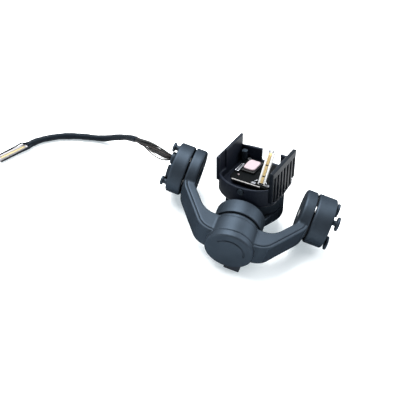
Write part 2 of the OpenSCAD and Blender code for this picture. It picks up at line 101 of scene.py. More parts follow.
def material(name, color, rough, metal=0.0, grain=900.0, bump=0.08, vary=0.12, spec=0.5, tint=(1, 1, 1),
             sheen=0.0, coat=0.0, stretch=None, wear=0.0):
    """A surface whose colour, roughness and relief come from noise in the object's own space."""
    rough_vary = 0.06
    m = bpy.data.materials.new(name)
    m.use_nodes = True
    t = m.node_tree
    b = t.nodes["Principled BSDF"]
    b.inputs["Metallic"].default_value = metal
    b.inputs["Specular IOR Level"].default_value = spec
    b.inputs["Specular Tint"].default_value = (*tint, 1)
    b.inputs["Sheen Weight"].default_value = sheen
    b.inputs["Coat Weight"].default_value = coat
    b.inputs["Coat Roughness"].default_value = 0.2
    where = t.nodes.new("ShaderNodeTexCoord").outputs["Object"]
    if stretch:
        mapping = t.nodes.new("ShaderNodeMapping")
        mapping.inputs["Scale"].default_value = stretch
        t.links.new(where, mapping.inputs["Vector"])
        where = mapping.outputs["Vector"]

    def noise(scale, detail):
        n = t.nodes.new("ShaderNodeTexNoise")
        n.inputs["Scale"].default_value = scale
        n.inputs["Detail"].default_value = detail
        t.links.new(where, n.inputs["Vector"])
        return n.outputs["Fac"]

    broad, fine = noise(grain * 0.12, 3), noise(grain * 2.2, 4)
    ramp = t.nodes.new("ShaderNodeValToRGB")
    ramp.color_ramp.elements[0].position = 0.3
    ramp.color_ramp.elements[1].position = 0.7
    for e, k in zip(ramp.color_ramp.elements, (1 - vary, 1 + vary)):
        e.color = (*[min(1, c * k) for c in color], 1)
    t.links.new(broad, ramp.inputs["Fac"])
    out = ramp.outputs["Color"]
    if wear:
        spots = t.nodes.new("ShaderNodeMapRange")
        for key, value in (("From Min", 0.68), ("From Max", 0.78), ("To Min", 0), ("To Max", wear)):
            spots.inputs[key].default_value = value
        t.links.new(noise(grain * 0.7, 6), spots.inputs["Value"])
        mix = t.nodes.new("ShaderNodeMix")
        mix.data_type = "RGBA"
        mix.inputs["B"].default_value = (*[min(1, c * 1.8 + 0.02) for c in color], 1)
        t.links.new(spots.outputs["Result"], mix.inputs["Factor"])
        t.links.new(out, mix.inputs["A"])
        out = mix.outputs["Result"]
    t.links.new(out, b.inputs["Base Color"])
    r = t.nodes.new("ShaderNodeMapRange")
    r.inputs["To Min"].default_value = rough - rough_vary
    r.inputs["To Max"].default_value = rough + rough_vary
    t.links.new(broad, r.inputs["Value"])
    t.links.new(r.outputs["Result"], b.inputs["Roughness"])
    k = t.nodes.new("ShaderNodeBump")
    k.inputs["Strength"].default_value = bump
    k.inputs["Distance"].default_value = 0.0001
    t.links.new(fine, k.inputs["Height"])
    t.links.new(k.outputs["Normal"], b.inputs["Normal"])
    return m


MATS = {
    "drum_satin": material("drum_satin", (0.031, 0.0405, 0.052), 0.5, metal=0.66, bump=0.12, wear=0.12,
                           spec=0, tint=(0.04, 0.06, 0.08)),
    "housing_black": material("housing_black", (0.0056, 0.007, 0.0122), 0.46, bump=0.1, wear=0.12, spec=0.14,
                              tint=(0.7, 0.85, 1)),
    "sink_black": material("sink_black", (0.003, 0.0045, 0.007), 0.46, spec=0.1, tint=(0.7, 0.85, 1)),
    "steel": material("steel", (0.32, 0.33, 0.35), 0.3, metal=1, grain=1500, stretch=(1, 6, 1)),
    # Steel darkened almost to black: painted shade for the shaft, axle and bearing seen through the gaps
    # beside the drums.
    "oxide_steel": material("oxide_steel", (0.016, 0.018, 0.023), 0.35, metal=0.5, spec=0.15),
    "magnet": material("magnet", (0.4, 0.41, 0.43), 0.35, metal=1),
    "copper_wire": material("copper_wire", (0.66, 0.3, 0.13), 0.35, metal=0.9, stretch=(1, 1, 5), bump=0.5),
    "iron_core": material("iron_core", (0.16, 0.16, 0.17), 0.5, metal=0.8, stretch=(1, 1, 8), bump=0.3),
    "board_green": material("board_green", (0.0006, 0.0012, 0.0015), 0.5, spec=0.04, vary=0.5),
    "flex_amber": material("flex_amber", (0.05, 0.028, 0.012), 0.35, coat=0.2),
    "gold": material("gold", (0.5, 0.38, 0.18), 0.4, metal=0.3, bump=0.05),
    "ceramic_white": material("ceramic_white", (0.36, 0.35, 0.34), 0.4, bump=0.05, vary=0.04),
    "plug_grey": material("plug_grey", (0.2, 0.19, 0.2), 0.45, bump=0.05, vary=0.05),
    "plug_gold": material("plug_gold", (0.23, 0.19, 0.085), 0.45, metal=0.2, bump=0.05),
    "strip_white": material("strip_white", (0.52, 0.52, 0.51), 0.45, bump=0.05, vary=0.04),
    "pad_pink": material("pad_pink", (0.27, 0.215, 0.23), 0.6, bump=0.35, vary=0.05, grain=600),
    "chip_black": material("chip_black", (0.003, 0.003, 0.0035), 0.5, spec=0.2, bump=0.3),
    "wire_sleeve": material("wire_sleeve", (0.003, 0.0032, 0.0036), 0.4, spec=0.2, bump=0.15, vary=0.3),
    "tape_black": material("tape_black", (0.003, 0.0048, 0.0075), 0.55, spec=0.1, sheen=0.02,
                           tint=(0.7, 0.85, 1), bump=0.6, grain=1600, vary=0.2),
    "wire_brown": material("wire_brown", (0.014, 0.0095, 0.0085), 0.42, spec=0.25, vary=0.2),
    "wire_pale": material("wire_pale", (0.3, 0.29, 0.28), 0.45, vary=0.06),
}


def dress(obj, slot, mat=None):
    """Gives obj the material of its slot, or mat where the photograph asks for another."""
    obj.data.materials.clear()
    obj.data.materials.append(MATS[mat or slot])
    return obj


# ---------------------------------------------------------------- mesh tools


def finish_piece(name, mesh, body, slot, replaces=(), mat=None, angle=None):
    """Puts a mesh given in millimetres into the frame as one riding piece."""
    mesh.transform(Matrix.Scale(MM, 4))
    obj = bpy.data.objects.new(name, mesh)
    scene.collection.objects.link(obj)
    mesh.shade_smooth()
    if angle:
        mesh.set_sharp_from_angle(angle=math.radians(angle))
    dress(obj, slot, mat)
    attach(obj, body)
    if replaces:
        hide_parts(*replaces)
    return obj


def polygon(x, y, points):
    """Signed distance to a closed outline in the plane."""
    d2, inside = np.full(np.broadcast(x, y).shape, 1e9), np.zeros(np.broadcast(x, y).shape, bool)
    for (x0, y0), (x1, y1) in zip(points, points[1:] + points[:1]):
        ex, ey = x1 - x0, y1 - y0
        px, py = x - x0, y - y0
        t = np.clip((px * ex + py * ey) / (ex * ex + ey * ey), 0, 1)
        d2 = np.minimum(d2, (px - ex * t) ** 2 + (py - ey * t) ** 2)
        if y0 != y1:
            crosses = ((y0 > y) != (y1 > y)) & (x < (x1 - x0) * (y - y0) / (y1 - y0) + x0)
            inside = inside ^ crosses
    return np.where(inside, -1, 1) * np.sqrt(d2)


def extrude(d, z, z0, z1, r):
    """A plane shape of signed distance d, drawn out from z0 to z1 with its edges rounded to r."""
    w, h = d + r, np.abs(z - (z0 + z1) / 2) - (z1 - z0) / 2 + r
    return np.minimum(np.maximum(w, h), 0) + np.hypot(np.maximum(w, 0), np.maximum(h, 0)) - r


def disc(u, v, w, radius, w0, w1, r=0.0):
    return extrude(np.hypot(u, v) - radius, w, w0, w1, r)


def block(x, y, z, lo, hi, r=0.0):
    q = [np.abs(c - (a + b) / 2) - (b - a) / 2 + r for c, a, b in zip((x, y, z), lo, hi)]
    inner = np.minimum(np.maximum(np.maximum(q[0], q[1]), q[2]), 0)
    return inner + np.sqrt(sum(np.maximum(c, 0) ** 2 for c in q)) - r


def join(a, b, k=0.0):
    """Union of two signed distances, blended over k."""
    if not k:
        return np.minimum(a, b)
    h = np.clip(0.5 + 0.5 * (b - a) / k, 0, 1)
    return b + (a - b) * h - k * h * (1 - h)


def cut(a, b, k=0.0):
    """a with b taken away."""
    return -join(-a, b, k)


def both(a, b, k=0.0):
    """What a and b share."""
    return -join(-a, -b, k)


def skin(f, lo, hi, step):
    """The surface where f is zero, as an even net of quads whose points lie on it."""
    axes = [np.arange(lo[i], hi[i] + step, step) for i in range(3)]
    grid = np.meshgrid(*axes, indexing="ij", sparse=True)
    v = np.broadcast_to(f(*grid), [len(a) for a in axes]).astype(float)
    s = v < 0
    shape = [n - 1 for n in v.shape]

    def corner(a, i, j, k):
        return a[i:i + shape[0], j:j + shape[1], k:k + shape[2]]

    corners = [(i, j, k) for i in (0, 1) for j in (0, 1) for k in (0, 1)]
    count = sum(corner(s, *c).astype(int) for c in corners)
    active = (count > 0) & (count < 8)
    where = np.argwhere(active)
    total, hits = np.zeros((len(where), 3)), np.zeros(len(where))
    for c in corners:
        for axis in range(3):
            if c[axis]:
                continue
            d = list(c)
            d[axis] = 1
            a, b = corner(v, *c)[active], corner(v, *d)[active]
            crossing = (a < 0) != (b < 0)
            t = np.where(crossing, a / np.where(crossing, a - b, 1), 0)
            point = np.tile(np.array(c, float), (len(where), 1))
            point[:, axis] += t
            total += point * crossing[:, None]
            hits += crossing
    p = np.array(lo) + (where + total / hits[:, None]) * step
    e, passes = 0.02, 4
    for _ in range(passes):
        x, y, z = p.T
        here = f(x, y, z)
        g = np.stack([f(x + e, y, z) - f(x - e, y, z), f(x, y + e, z) - f(x, y - e, z),
                      f(x, y, z + e) - f(x, y, z - e)], 1) / (2 * e)
        move = here[:, None] * g / np.maximum((g * g).sum(1), 0.25)[:, None]
        length = np.linalg.norm(move, axis=1, keepdims=True)
        p = p - move * np.minimum(1, 0.4 * step / np.maximum(length, 1e-9))
    index = np.full(shape, -1)
    index[active] = np.arange(len(where))
    faces = []
    for axis in range(3):
        u, w = [a for a in range(3) if a != axis]
        first = [slice(0, n) for n in v.shape]
        first[u] = slice(1, v.shape[u] - 1)
        first[w] = slice(1, v.shape[w] - 1)
        second = list(first)
        first[axis], second[axis] = slice(0, v.shape[axis] - 1), slice(1, v.shape[axis])
        a, b = s[tuple(first)], s[tuple(second)]
        at = np.argwhere(a != b)
        rising = a[a != b]
        at[:, u] += 1
        at[:, w] += 1
        ring = []
        for du, dw in ((-1, -1), (0, -1), (0, 0), (-1, 0)):
            cell = at.copy()
            cell[:, u] += du
            cell[:, w] += dw
            ring.append(index[tuple(cell.T)])
        quads = np.stack(ring, 1)
        flip = rising if axis != 1 else ~rising
        quads[~flip] = quads[~flip][:, ::-1]
        faces.append(quads)
    mesh = bpy.data.meshes.new("skin")
    mesh.from_pydata(p.tolist(), [], np.concatenate(faces).tolist())
    mesh.validate()
    return mesh


def lathe(profile, matrix, n=128):
    """A closed (radius, height) outline turned about the Z axis of matrix."""
    b = bmesh.new()
    rings = []
    for i in range(n):
        a = 2 * math.pi * i / n
        ring = [Vector((r * math.cos(a), r * math.sin(a), z)) for r, z in profile]
        rings.append([b.verts.new(matrix @ q) for q in ring])
    m = len(profile)
    for i in range(n):
        r0, r1 = rings[i], rings[(i + 1) % n]
        for k in range(m):
            b.faces.new((r0[k], r1[k], r1[(k + 1) % m], r0[(k + 1) % m]))
    bmesh.ops.remove_doubles(b, verts=b.verts, dist=1e-5)
    bmesh.ops.recalc_face_normals(b, faces=b.faces)
    mesh = bpy.data.meshes.new("lathe")
    b.to_mesh(mesh)
    b.free()
    return mesh


def rounded(profile, radii, steps=5):
    """Rounds the corners of a closed outline."""
    out = []
    n = len(profile)
    for i, (point, r) in enumerate(zip(profile, radii)):
        p, a, b = Vector(point), Vector(profile[i - 1]), Vector(profile[(i + 1) % n])
        if r <= 0:
            out.append(tuple(p))
            continue
        u, v = (a - p).normalized(), (b - p).normalized()
        angle = max(u.angle(v), 1e-3)
        reach = min(r / math.tan(angle / 2), (a - p).length * 0.49, (b - p).length * 0.49)
        start, end = p + u * reach, p + v * reach
        for k in range(steps + 1):
            t = k / steps
            out.append(tuple(start * (1 - t) ** 2 + p * 2 * t * (1 - t) + end * t * t))
    return out


def boxes(items, matrix, bevel=0.05, segments=2):
    """Several blocks, each (low corner, size), with bevelled edges, as one mesh."""
    b = bmesh.new()
    for low, size in items:
        made = bmesh.ops.create_cube(b, size=1)["verts"]
        for v in made:
            v.co = Vector([low[i] + size[i] * (v.co[i] + 0.5) for i in range(3)])
    if bevel:
        bmesh.ops.bevel(b, geom=list(b.edges), offset=bevel, segments=segments, affect="EDGES", profile=0.5)
    b.transform(matrix)
    if matrix.determinant() < 0:
        bmesh.ops.reverse_faces(b, faces=b.faces)
    mesh = bpy.data.meshes.new("blocks")
    b.to_mesh(mesh)
    b.free()
    return mesh


def smooth_line(points, per=6):
    """Catmull-Rom line through points, with per steps in each span."""
    p = [Vector(q) for q in points]
    p = [p[0] * 2 - p[1]] + p + [p[-1] * 2 - p[-2]]
    out = []
    for i in range(1, len(p) - 2):
        for k in range(per):
            t = k / per
            out.append(0.5 * ((2 * p[i]) + (p[i + 1] - p[i - 1]) * t
                              + (2 * p[i - 1] - 5 * p[i] + 4 * p[i + 1] - p[i + 2]) * t * t
                              + (3 * p[i] - p[i - 1] - 3 * p[i + 1] + p[i + 2]) * t ** 3))
    out.append(p[-2])
    return out


def hose(lines, radius, sides=12):
    """Round tubes along lines. radius is a number or a function of (how far along, angle)."""
    b = bmesh.new()
    for line in lines:
        n = len(line)
        side = Vector((0, 0, 1))
        rings = []
        run = 0.0
        for i, p in enumerate(line):
            d = (line[min(i + 1, n - 1)] - line[max(i - 1, 0)]).normalized()
            side = (side - d * side.dot(d)).normalized()
            up = d.cross(side)
            if i:
                run += (p - line[i - 1]).length
            ring = []
            for k in range(sides):
                a = 2 * math.pi * k / sides
                r = radius(run, a) if callable(radius) else radius
                ring.append(b.verts.new(p + (side * math.cos(a) + up * math.sin(a)) * r))
            rings.append(ring)
        for r0, r1 in zip(rings, rings[1:]):
            for k in range(sides):
                b.faces.new((r0[k], r0[(k + 1) % sides], r1[(k + 1) % sides], r1[k]))
        b.faces.new(rings[0][::-1])
        b.faces.new(rings[-1])
    bmesh.ops.recalc_face_normals(b, faces=b.faces)
    mesh = bpy.data.meshes.new("hose")
    b.to_mesh(mesh)
    b.free()
    return mesh


def merged(meshes):
    """Several meshes as one."""
    b = bmesh.new()
    for m in meshes:
        b.from_mesh(m)
    mesh = bpy.data.meshes.new("merged")
    b.to_mesh(mesh)
    b.free()
    return mesh


def local(matrix, f):
    """A skin maker for f, which is drawn in its own frame and placed by matrix."""
    def placed(lo, hi, step):
        mesh = skin(f, lo, hi, step)
        mesh.transform(matrix)
        if matrix.determinant() < 0:
            mesh.flip_normals()
        return mesh
    return placed


# ---------------------------------------------------------------- cable

bundle_route = [(-34.8, *collar_at), (-37, *collar_at), (-40, 2, 3.2), (-43, 3.4, 2.4), (-46, 5, 1.2),
                (-49, 6.6, -0.2)]
tape_route = [(-49, 6.6, -0.2), (-52, 8.2, -1.6), (-55, 9.6, -3.4), (-58, 10.6, -5.3), (-61, 11.1, -7.2),
              (-64, 11.1, -9), (-67, 10.6, -10.4), (-70, 9.9, -11.1), (-73, 9, cable_lies_at),
              (-76, 7.9, cable_lies_at), (-79, 6.6, cable_lies_at), (-82, 5, cable_lies_at),
              (-85, 3.1, cable_lies_at), (-88, 0.6, cable_lies_at), (-90.6, -2, cable_lies_at),
              (-92.7, -5, cable_lies_at), (-94.4, -8.2, cable_lies_at)]
route_steps = 12
wire_count, brown_wires = 11, (2, 6, 9)
golden_angle = 2.399
tape_pitch = 3.1


def run_length(line):
    return sum((b - a).length for a, b in zip(line, line[1:]))


whole_route = smooth_line(bundle_route + tape_route[1:], route_steps)
cord_length = run_length(whole_route)
strand_steps = (len(bundle_route) - 1) * route_steps + 14
tape_start = run_length(whole_route[:strand_steps])


def taped(run, a):
    """Radius of the taped cable: bare core first, then overlapping turns of tape with soft dents."""
    if run < tape_start:
        return 0.7 + 0.06 * math.sin(3 * a + run * 1.9)
    turn_at = ((run + a / (2 * math.pi) * tape_pitch) / tape_pitch) % 1
    lap = 0.09 * (turn_at ** 0.5) - 0.05 * max(0.0, 1 - turn_at * 9)
    dents = 0.05 * math.sin(run * 0.83 + 1) + 0.05 * math.sin(run * 0.37 + 2 * a)
    start = min(1.0, (run - tape_start) / 0.5)
    end = min(1.0, max(0.0, (cord_length - run) / 3))
    return (0.95 + (0.33 + lap + dents) * start) * (0.72 + 0.28 * end)


fine_route = smooth_line([tuple(p) for p in whole_route[::3]], 8)
cord = finish_piece("cable", hose([fine_route], taped, 24), "root", "tape_black",
                    ("wire_bundle", "cable_tape"))

strand_lines, brown_lines, pale_lines = [], [], []
span = whole_route[:strand_steps + 3]
for i in range(wire_count):
    phase, swirl = i * golden_angle, 0.9 + 0.25 * math.sin(i * 5.1)
    line = []
    for k, p in enumerate(span[::3]):
        t = k * 3 / (len(span) - 1)
        d = (span[min(k * 3 + 3, len(span) - 1)] - span[max(k * 3 - 3, 0)]).normalized()
        side = d.cross(Vector((0, 0, 1))).normalized()
        up = side.cross(d)
        spread = 0.8 + 0.75 * math.sin(math.pi * min(1, t * 1.05)) * (0.7 + 0.3 * math.sin(i * 1.7))
        a = phase + swirl * t * 2.2
        line.append(p + (side * math.cos(a) + up * math.sin(a)) * spread)
    (brown_lines if i in brown_wires else strand_lines).append(smooth_line(line, 3))
for offset, sag in ((0.0, 0.0), (0.55, 0.35)):
    line = []
    for k in range(9):
        t = k / 8
        p = span[int(t * 56)]
        out = math.sin(math.pi * t) * (0.9 + offset)
        line.append(p + Vector((-0.1, -0.85 - out * 0.75, -0.75 - out * 0.55 - sag * math.sin(math.pi * t))))
    (pale_lines if not offset else brown_lines).append(smooth_line(line, 4))
strands = finish_piece("loose_wires", hose(strand_lines, 0.27, 8), "root", "wire_sleeve")
browns = finish_piece("brown_wires", hose(brown_lines, 0.26, 8), "root", "wire_sleeve", mat="wire_brown")
pale = finish_piece("pale_wire", hose(pale_lines, 0.2, 8), "root", "wire_sleeve", mat="wire_pale")

at_plug = Matrix.Translation(tape_route[-1]) @ turned("Z", 180 + 62)
plug_parts = [((0.02, -1.2, -1.2), (13, 2.3, 1.7)), ((0.02, -1.2, 0.45), (13, 0.95, 0.3)),
              ((0.02, 0.85, 0.45), (13, 0.25, 0.25)), ((0.02, -1.2, 0.45), (0.9, 2.3, 0.3))]
plug_body = finish_piece("plug_body", boxes(plug_parts, at_plug, 0.1, 3), "root", "ceramic_white",
                         ("plug_shell",), "plug_grey", angle=40)
contact_count, contact_pitch = 18, 0.61
pins = [((1.3 + i * contact_pitch, -0.15, 0.5), (0.34, 0.9, 0.22)) for i in range(contact_count)]
plug_pins = finish_piece("plug_pins", boxes([((1.1, -0.2, 0.4), (11.2, 1.0, 0.24))] + pins, at_plug, 0.05),
                         "root", "gold", ("plug_contacts",), "plug_gold", angle=40)
lower_sleeve = [at_plug @ q for q in smooth_line(
    [(-5, -0.1, 0.1), (-3, 0.5, 0), (-0.8, 1.1, -0.1), (1.6, 1.45, -0.1), (5, 1.35, -0.25), (9, 1.25, -0.4),
     (12.6, 1.2, -0.5)], 5)]
upper_sleeve = [at_plug @ q for q in smooth_line(
    [(-3.2, -0.4, 0.2), (-1.4, -0.6, 0.7), (0.2, -0.6, 1.3), (1.3, -1.2, 1.5), (2.4, -1.5, 1.2),
     (4.5, -1.5, 0.9), (8, -1.45, 0.8), (12.6, -1.35, 0.7)], 5)]
plug_wires = finish_piece("plug_wires", merged([
    hose([lower_sleeve], lambda run, a: 0.3 + 0.75 * max(0.0, 1 - run / 8), 12),
    hose([upper_sleeve], lambda run, a: 0.32 + 0.3 * max(0.0, 1 - run / 4), 10)]), "root", "tape_black")

# ---------------------------------------------------------------- side drums


def drum_shape(thick, boss_out, boss_in, boss_h, turn_deg):
    """Open cup with a ring-shaped boss inside, a fine groove and three screw seats on its face."""
    places = [math.radians(turn_deg + 60 + k * 120) for k in range(3)]

    def f(x, y, z):
        r = np.hypot(x, y)
        d = extrude(r - drum_r, z, 0, thick, 0.75)
        d = cut(d, extrude(r - 9.2, z, -2, thick - drum_wall, 0.2), 0.15)
        boss = extrude(r - boss_out, z, thick - drum_wall - boss_h, thick - 1.2, 0.1)
        d = join(d, cut(boss, extrude(r - boss_in, z, -1, thick - drum_wall, 0)), 0.1)
        d = cut(d, extrude(np.abs(r - 9.3) - 0.12, z, thick - 0.12, thick + 2, 0.05), 0.1)
        for a in places:
            px, py = screw_circle_r * math.cos(a), screw_circle_r * math.sin(a)
            d = cut(d, disc(x - px, y - py, z, 0.95, thick - 0.7, thick + 2), 0.1)
        return d
    return f


left_drum = local(left_side, drum_shape(left_drum_t, 7.4, 6.4, 3.6, left_stud_turn))
finish_piece("left_drum", left_drum((-11, -11, -0.6), (11, 11, 6.7), 0.3), "root", "drum_satin",
             ("left_base",))
right_drum = local(right_side, drum_shape(right_drum_t, 3.6, 3, 5.7, right_stud_turn))
finish_piece("right_drum", right_drum((-11, -11, -0.6), (11, 11, 8.3), 0.3), "root", "drum_satin",
             ("right_base",))


def stud_mesh(side, face, head, turn_deg):
    """Three mushroom studs on a drum's outer face."""
    parts = []
    profile = rounded([(0, 0), (1.4, 0), (1.1, 0.35), (1.1, 1.5), (head, 1.5), (head, 2.6), (0, 2.6)],
                      [0, 0.1, 0.3, 0.15, 0.4, 0.5, 0], 4)
    for k in range(3):
        a = turn_deg + 120 * k
        at = side @ turned("Z", a) @ Matrix.Translation((stud_circle_r, 0, face))
        parts.append(lathe(profile, at, 40))
    return merged(parts)


finish_piece("left_stud_set", stud_mesh(left_side, left_drum_t, 1.9, left_stud_turn), "root", "drum_satin",
             ("left_studs",), angle=50)
finish_piece("right_stud_set", stud_mesh(right_side, right_drum_t, 2.9, right_stud_turn), "root",
             "drum_satin", ("right_studs",), angle=50)

# Short wire that shows as a glint in the right drum's gap
glint = [Vector((26.4, 10 * math.cos(math.radians(a)), 10 * math.sin(math.radians(a))))
         for a in range(103, 119, 3)]
finish_piece("gap_wire", hose([glint], 0.24, 8), "root", "steel")


def collar_shape(x, y, z):
    """Guide ring with two posts, drawn with +Z away from the drum."""
    d = disc(x, y, z, 2.5, 0.4, 2, 0.45)
    for s in (-1, 1):
        d = join(d, disc(x - s * 1.8, y, z, 0.62, 0, 1), 0.4)
    return cut(d, disc(x, y, z, 1.2, 0, 5), 0.5)


at_collar = Matrix.Translation((-32.8, *collar_at)) @ turned("Y", -90)
finish_piece("collar", local(at_collar, collar_shape)((-3.2, -3.2, -0.3), (3.2, 3.2, 2.4), 0.18),
             "root", "drum_satin", ("cable_collar",))

# ---------------------------------------------------------------- yoke


def arc(cx, cy, r, a0, a1, n=10):
    """Points along a circle's arc, with angles in degrees."""
    return [(cx + r * math.cos(math.radians(a0 + (a1 - a0) * i / n)),
             cy + r * math.sin(math.radians(a0 + (a1 - a0) * i / n))) for i in range(n + 1)]


def arm_outer(d):
    """Outer edge of the right half's plan, drawn in by d."""
    bends = arc(17.1, -7.5, 9 - d, 0, -36) + arc(9, -20.3, 8 - d, -36, -90)
    return [(arm_end_out - d, -3)] + bends + [(-6, -28.3 + d)]


def arm_inner(d):
    """Inner edge of the right half's plan, drawn in by d."""
    bends = arc(17.5, -8, 4 + d, 0, -36) + arc(9.9, -11.6, 8 + d, -36, -90)
    return [(arm_end_in + d, -3)] + bends + [(-6, -19.6 - d)]


frame_plan = arm_inner(0) + arm_outer(1.2)[::-1]
cavity_plan = arm_inner(1) + arm_outer(1.0)[::-1]
cover_plan = arm_outer(1.2) + arm_outer(0)[::-1]


def yoke_shape(x, y, z):
    """Both arms, both arm ends and the hub, hollow inside."""
    ax, r = np.abs(x), np.hypot(x, z)
    d = extrude(polygon(ax, y, frame_plan), z, -arm_half_h, arm_half_h, 0.45)
    d = join(d, disc(y, z, ax, drum_r, arm_end_in, arm_end_out, 1.1), 0.9)
    d = join(d, disc(y, z, ax, drum_r, 23.4, arm_end_out, 0.4))
    d = join(d, extrude(r - hub_r, y, -28, -21, 0.3), 0.7)
    d = join(d, extrude(r - 9.1, y, -22, -19.3, 0.2))
    d = join(d, extrude(r - 3.6, y, -22, -14.8, 0.1))
    d = cut(d, disc(y, z, ax, 9.2, 22.7, 30), 0.2)
    hollow = extrude(polygon(ax, y, cavity_plan), z, -4.2, 4.2, 0.2)
    d = cut(d, cut(hollow, extrude(r - hub_r, y, -22.2, -18, 0)))
    d = cut(d, extrude(r - hub_bore_r, y, -30, -22.2, 0.1), 0.1)
    d = cut(d, extrude(r - 3, y, -30, -10, 0))
    d = cut(d, np.where(x > 0, disc(y, z, x, axis_bore_r, 20, 24), disc(y, z, -x, 4, 20, 24)))
    for a in (80, 200, 320):
        px, pz = 6.6 * math.cos(math.radians(a)), -6.6 * math.sin(math.radians(a))
        d = join(d, disc(x - px, z - pz, y, 1.1, -25.7, -21.5, 0.05))
    return d


as_drawn = Matrix.Identity(4)
finish_piece("yoke_body", local(as_drawn, yoke_shape)((-27.2, -28.8, -10.8), (27.2, 10.8, 10.8), 0.36),
             "yoke", "drum_satin", ("yoke_frame",))


def cover_shape(x, y, z):
    """Cover strip along the front of both arms, with the hub's rim."""
    ax, r = np.abs(x), np.hypot(x, z)
    d = extrude(polygon(ax, y, cover_plan), z, -arm_half_h, arm_half_h, 0.4)
    d = cut(d, extrude(r - hub_r, y, -28, -10, 0), 0.1)
    d = join(d, extrude(r - hub_r, y, -29.4, -28, 0.02), 0.5)
    d = cut(d, extrude(r - hub_bore_r, y, -35, -20, 0))
    return cut(d, disc(y, z, ax, 10.42, 20, 28))


finish_piece("yoke_front", local(as_drawn, cover_shape)((-27, -29.9, -10.2), (27, -4, 10.2), 0.3),
             "yoke", "drum_satin", ("yoke_cover",))


def cap_shape(x, y, z):
    """Hub cap with its shallow arc groove and the skirt over the hub's rim, with +Z outward and +Y down."""
    r = np.hypot(x, y)
    d = extrude(r - 9.64, z, -3, 1.7, 0.9)
    d = both(d, -z - 1.2)
    groove = both(extrude(np.abs(r - 6.1) - 0.28, z, 1.3, 3, 0.05), y + 1.8 - 0.35 * x, 0.2)
    return cut(d, groove, 0.15)


hub_face = Matrix.Translation((0, hub_front_y, 0)) @ turned("X", 90) @ Matrix.Scale(-1, 4, (0, 1, 0))
finish_piece("cap", local(hub_face, cap_shape)((-10.2, -10.2, -1.6), (10.2, 10.2, 2.2), 0.25),
             "yoke", "drum_satin", ("hub_cap",))


def tab_shape(x, y, z):
    d = block(x, y, z, (0.3, -30.2, -11.7), (6.7, -27.6, -6.7), 0.35)
    return cut(d, np.hypot(x, z) - hub_r, 0.05)


finish_piece("tab", local(as_drawn, tab_shape)((-0.2, -30.8, -12.2), (7.2, -27, -6.2), 0.16),
             "yoke", "housing_black", ("hub_tab",))

# ---------------------------------------------------------------- roll arm

bell = rounded([(axis_bore_r, 5.3), (8.9, 5.3), (8.9, 0), (9.9, 0), (9.9, 6.5), (axis_bore_r, 6.5)],
               [0, 0.15, 0.1, 0.35, 0.6, 0], 6)
finish_piece("roll_drum", lathe(bell, Matrix.Translation((0, -19, 0)) @ along_y, 160), "roll_arm",
             "drum_satin", ("roll_bell",), angle=50)

# ---------------------------------------------------------------- camera housing


def plan(w, f, inset):
    """Signed distance to the housing's outline from above, drawn in by inset."""
    d = both(np.hypot(w, f - 3.9) - 18.3 + inset, np.hypot(w, f + 49) - 60 + inset, 0.6)
    d = both(d, np.hypot(w, f) - 15 + inset, 0.6)
    return both(d, np.abs(w) - half_w + inset, 0.35)


def sink_side(f, z):
    """Signed distance to the heat sink's outline from the side."""
    return polygon(f, z, [(-10.4, 4.8), (-1.4, 2.2), (2.4, 3), (10.4, 6), (10.4, 18.4), (-10.4, 18.4)])


def housing_shape(w, f, z):
    """Open housing: tapered tub, tall left wall, notched rear wall, motor bore and screw seats."""
    outer, inner = plan(w, f, 0), plan(w, f, 1.2)
    t = 1 - np.sqrt(1 - np.clip((3.7 - z) / 1.7, 0, 1) ** 2 * 0.9)
    taper = outer * (1 - t) + (np.hypot(w, f) - 12) * t
    d = extrude(taper, z, 2, 10.7, 0.3)
    side = polygon(f, z, [(-10.4, 8), (10, 8), (10, 19.2), (-10.4, 18.4)])
    d = join(d, extrude(side, w, -half_w, -11.2, 0.3), 0.25)
    rear = extrude(both(outer, 9.4 - f), z, 8, 14.4, 0.3)
    d = join(d, both(rear, w - 10.8), 0.2)
    d = cut(d, extrude(inner, z, 7.2, 30, 0.3), 0.15)
    near_lip = extrude(plan(w, f, 0.6), z, 10.25, 30, 0.05) + np.where(f > -4, 5, 0)
    d = cut(d, near_lip, 0.1)
    d = cut(d, extrude(sink_side(f, z), w, 10.8, 16, 0.0))
    d = cut(d, block(w, f, z, (-2.4, 7, 8.9), (6, 20, 30), 0.3), 0.15)
    d = cut(d, disc(w, f, z, axis_bore_r, -1, 4.6))
    d = cut(d, extrude(np.abs(np.hypot(w, f) - 6.8) - 2.2, z, -2, 5.8, 0.1))
    for px, py in ((-6.6, 7.2), (8.6, -7)):
        d = join(d, disc(w - px, f - py, z, 1.3, 7, 8.6))
    return cut(d, disc(w - 0.8, z - 8.9, f, 1.35, -16, -13.8, 0.2), 0.3)


finish_piece("housing", local(in_camera, housing_shape)((-13, -15.1, 1.4), (13, 11.7, 19.8), 0.26),
             "camera", "housing_black", ("camera_shell",))


def sink_shape(w, f, z):
    """Heat sink plate with seven milled slots."""
    slot_count, slot_run, slot_half = 7, 16.8, 0.65
    d = extrude(sink_side(f, z), w, 10.85, half_w, 0.3)
    for i in range(slot_count):
        mid = (i / (slot_count - 1) - 0.5) * slot_run
        slot = block(w, f, z, (11.5, mid - slot_half, 3.6), (15, mid + slot_half, 15.6), 0.3)
        d = cut(d, slot, 0.15)
    return d


finish_piece("cooling_plate", local(in_camera, sink_shape)((10.5, -10.9, 1.8), (12.8, 10.9, 18.9), 0.2),
             "camera", "sink_black", ("heat_sink",))

pan_profile = rounded([(axis_bore_r, 0.8), (10.9, 0.8), (10.9, -3.4), (12, -3.4), (12, 2), (axis_bore_r, 2)],
                      [0, 0.1, 0.1, 0.35, 0.3, 0], 5)
finish_piece("pan_drum", lathe(pan_profile, in_camera, 160), "camera", "housing_black", ("pan_bell",),
             "drum_satin", angle=50)

# ---------------------------------------------------------------- parts on the camera's board

finish_piece("sensor_chip", boxes([((-5.4, -2.2, deck_top), (5.6, 8.8, 0.9))], in_camera, 0.12, 3),
             "camera", "chip_black", ("image_chip",), angle=40)


